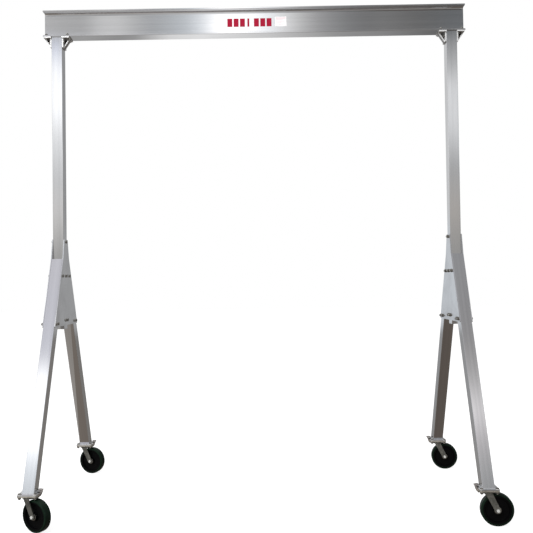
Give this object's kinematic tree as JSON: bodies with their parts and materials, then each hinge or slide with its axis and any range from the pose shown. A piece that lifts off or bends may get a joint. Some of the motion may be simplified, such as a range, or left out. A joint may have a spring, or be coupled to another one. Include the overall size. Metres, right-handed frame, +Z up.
{
  "type": "portable gantry crane",
  "caption": "Portable aluminium gantry crane: an I-beam bolted with corner brackets on two A-shaped end frames that stand on swivel casters with lock levers.",
  "frame": {"origin": "on the floor, under the centre of the crane's outer box with the casters at their rest angles; the beam's mid-span is at X -31.0 mm, Y +17.4 mm", "axes": "+X along the beam to the right, +Y from the front legs to the rear legs, +Z up"},
  "size_m": [3.1114, 1.4257, 3.5175],
  "materials": {
    "beam_aluminium": "mill-finish extruded aluminium with long die lines",
    "tube_aluminium": "mill-finish extruded square tube, bright, with lengthwise die lines",
    "plate_aluminium": "rolled aluminium plate, soft satin, lightly scratched",
    "bracket_aluminium": "cut and welded aluminium plate, bright edges",
    "zinc_fasteners": "zinc-plated steel",
    "zinc_caster_steel": "zinc-plated pressed steel, dulled grey",
    "lever_steel": "zinc-plated steel strip",
    "bearing_steel": "ground bearing steel, greased",
    "green_tread": "very dark green moulded polyurethane tread",
    "black_core": "near-black moulded wheel core",
    "red_film": "red vinyl film",
    "white_film": "white vinyl label film"
  },
  "bodies": {
    "frame": {"capacity_marking": "red_film", "caster_plate_front_left": "zinc_caster_steel", "caster_plate_front_right": "zinc_caster_steel", "caster_plate_rear_left": "zinc_caster_steel", "caster_plate_rear_right": "zinc_caster_steel", "corner_bracket_left_inner": "bracket_aluminium", "corner_bracket_left_outer": "bracket_aluminium", "corner_bracket_right_inner": "bracket_aluminium", "corner_bracket_right_outer": "bracket_aluminium", "flange_bolts": "zinc_fasteners", "foot_bolts": "zinc_fasteners", "gusset_bolts_left": "zinc_fasteners", "gusset_bolts_right": "zinc_fasteners", "gusset_left_inner": "plate_aluminium", "gusset_left_outer": "plate_aluminium", "gusset_right_inner": "plate_aluminium", "gusset_right_outer": "plate_aluminium", "i_beam": "beam_aluminium", "inspection_label": "white_film", "kingpin_front_left": "zinc_caster_steel", "kingpin_front_right": "zinc_caster_steel", "kingpin_rear_left": "zinc_caster_steel", "kingpin_rear_right": "zinc_caster_steel", "leg_front_left": "tube_aluminium", "leg_front_right": "tube_aluminium", "leg_rear_left": "tube_aluminium", "leg_rear_right": "tube_aluminium", "lever_pins": "zinc_fasteners", "post_bolts": "zinc_fasteners", "post_left": "tube_aluminium", "post_right": "tube_aluminium"},
    "fork_front_left_swivel": {"fork_front_left": "zinc_caster_steel", "swivel_balls_front_left": "bearing_steel", "axle_front_left": "zinc_fasteners"},
    "wheel_front_left": {"wheel_core_front_left": "black_core", "wheel_tread_front_left": "green_tread", "roller_bearing_front_left": "bearing_steel"},
    "lever_front_left": {"lock_lever_front_left": "lever_steel"},
    "fork_front_right_swivel": {"fork_front_right": "zinc_caster_steel", "swivel_balls_front_right": "bearing_steel", "axle_front_right": "zinc_fasteners"},
    "wheel_front_right": {"wheel_core_front_right": "black_core", "wheel_tread_front_right": "green_tread", "roller_bearing_front_right": "bearing_steel"},
    "lever_front_right": {"lock_lever_front_right": "lever_steel"},
    "fork_rear_left_swivel": {"fork_rear_left": "zinc_caster_steel", "swivel_balls_rear_left": "bearing_steel", "axle_rear_left": "zinc_fasteners"},
    "wheel_rear_left": {"wheel_core_rear_left": "black_core", "wheel_tread_rear_left": "green_tread", "roller_bearing_rear_left": "bearing_steel"},
    "lever_rear_left": {"lock_lever_rear_left": "lever_steel"},
    "fork_rear_right_swivel": {"fork_rear_right": "zinc_caster_steel", "swivel_balls_rear_right": "bearing_steel", "axle_rear_right": "zinc_fasteners"},
    "wheel_rear_right": {"wheel_core_rear_right": "black_core", "wheel_tread_rear_right": "green_tread", "roller_bearing_rear_right": "bearing_steel"},
    "lever_rear_right": {"lock_lever_rear_right": "lever_steel"}
  },
  "joints": [
    {"name": "swivel_front_left", "type": "hinge", "parent": "frame", "child": "fork_front_left_swivel", "pos_m": [-1.459, -0.61756, 0.21], "axis": [0, 0, 1], "continuous": true},
    {"name": "roll_front_left", "type": "hinge", "parent": "fork_front_left_swivel", "child": "wheel_front_left", "pos_m": [-1.40867, -0.64432, 0.1016], "axis": [0.4695, 0.8829, 0], "continuous": true},
    {"name": "lock_front_left", "type": "hinge", "parent": "frame", "child": "lever_front_left", "pos_m": [-1.402, -0.61756, 0.216], "axis": [0, 1, 0], "range_deg": [0, 12]},
    {"name": "swivel_front_right", "type": "hinge", "parent": "frame", "child": "fork_front_right_swivel", "pos_m": [1.397, -0.61756, 0.21], "axis": [0, 0, 1], "continuous": true},
    {"name": "roll_front_right", "type": "hinge", "parent": "fork_front_right_swivel", "child": "wheel_front_right", "pos_m": [1.45379, -0.62252, 0.1016], "axis": [0.0872, 0.9962, 0], "continuous": true},
    {"name": "lock_front_right", "type": "hinge", "parent": "frame", "child": "lever_front_right", "pos_m": [1.34, -0.61756, 0.216], "axis": [0, -1, 0], "range_deg": [0, 12]},
    {"name": "swivel_rear_left", "type": "hinge", "parent": "frame", "child": "fork_rear_left_swivel", "pos_m": [-1.459, 0.65244, 0.21], "axis": [0, 0, 1], "continuous": true},
    {"name": "roll_rear_left", "type": "hinge", "parent": "fork_rear_left_swivel", "child": "wheel_rear_left", "pos_m": [-1.40421, 0.63673, 0.1016], "axis": [0.2756, 0.9613, 0], "continuous": true},
    {"name": "lock_rear_left", "type": "hinge", "parent": "frame", "child": "lever_rear_left", "pos_m": [-1.402, 0.65244, 0.216], "axis": [0, 1, 0], "range_deg": [0, 12]},
    {"name": "swivel_rear_right", "type": "hinge", "parent": "frame", "child": "fork_rear_right_swivel", "pos_m": [1.397, 0.65244, 0.21], "axis": [0, 0, 1], "continuous": true},
    {"name": "roll_rear_right", "type": "hinge", "parent": "fork_rear_right_swivel", "child": "wheel_rear_right", "pos_m": [1.45345, 0.64451, 0.1016], "axis": [0.1392, 0.9903, 0], "continuous": true},
    {"name": "lock_rear_right", "type": "hinge", "parent": "frame", "child": "lever_rear_right", "pos_m": [1.34, 0.65244, 0.216], "axis": [0, -1, 0], "range_deg": [0, 12]}
  ]
}
